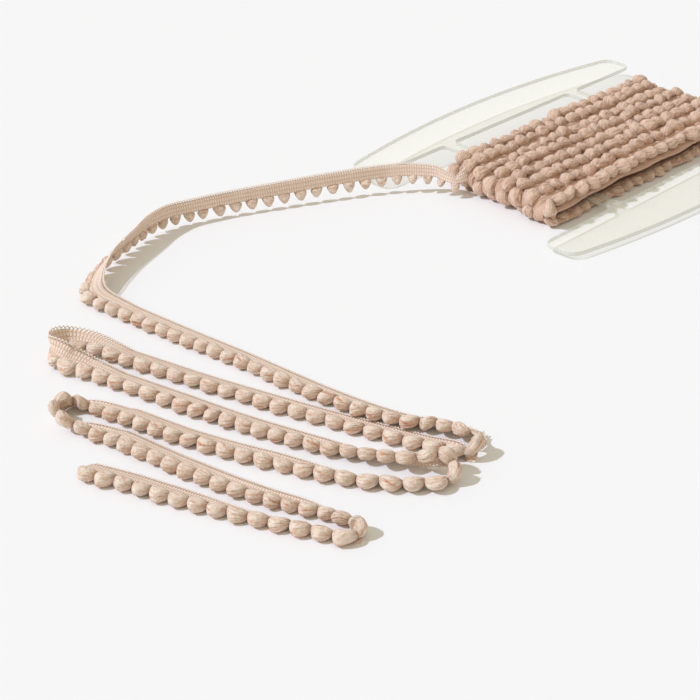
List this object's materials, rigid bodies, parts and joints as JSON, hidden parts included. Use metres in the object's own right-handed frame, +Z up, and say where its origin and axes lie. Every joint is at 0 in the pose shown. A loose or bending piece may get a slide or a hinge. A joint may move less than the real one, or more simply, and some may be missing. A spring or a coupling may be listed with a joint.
{
  "type": "pompom fringe trim on a winding card",
  "caption": "Narrow knitted trim edged with small pompoms, wound round a flat winding card, its loose end laid out in open runs.",
  "frame": {"origin": "centre of the box round the whole layout, on the surface it lies on", "axes": "+Z up from the surface, +Y from the loose runs' cut end side towards the far end of the winding card, +X towards the card's side"},
  "size_m": [0.3294, 0.3862, 0.0151],
  "materials": {
    "dusty_beige_yarn": "soft matt cotton yarn, dusty pink-beige",
    "cream_clear_plastic": "translucent cream plastic, satin"
  },
  "bodies": {
    "root": {"loose_trim": "dusty_beige_yarn", "wound_trim": "dusty_beige_yarn", "winding_card": "cream_clear_plastic"}
  },
  "joints": []
}
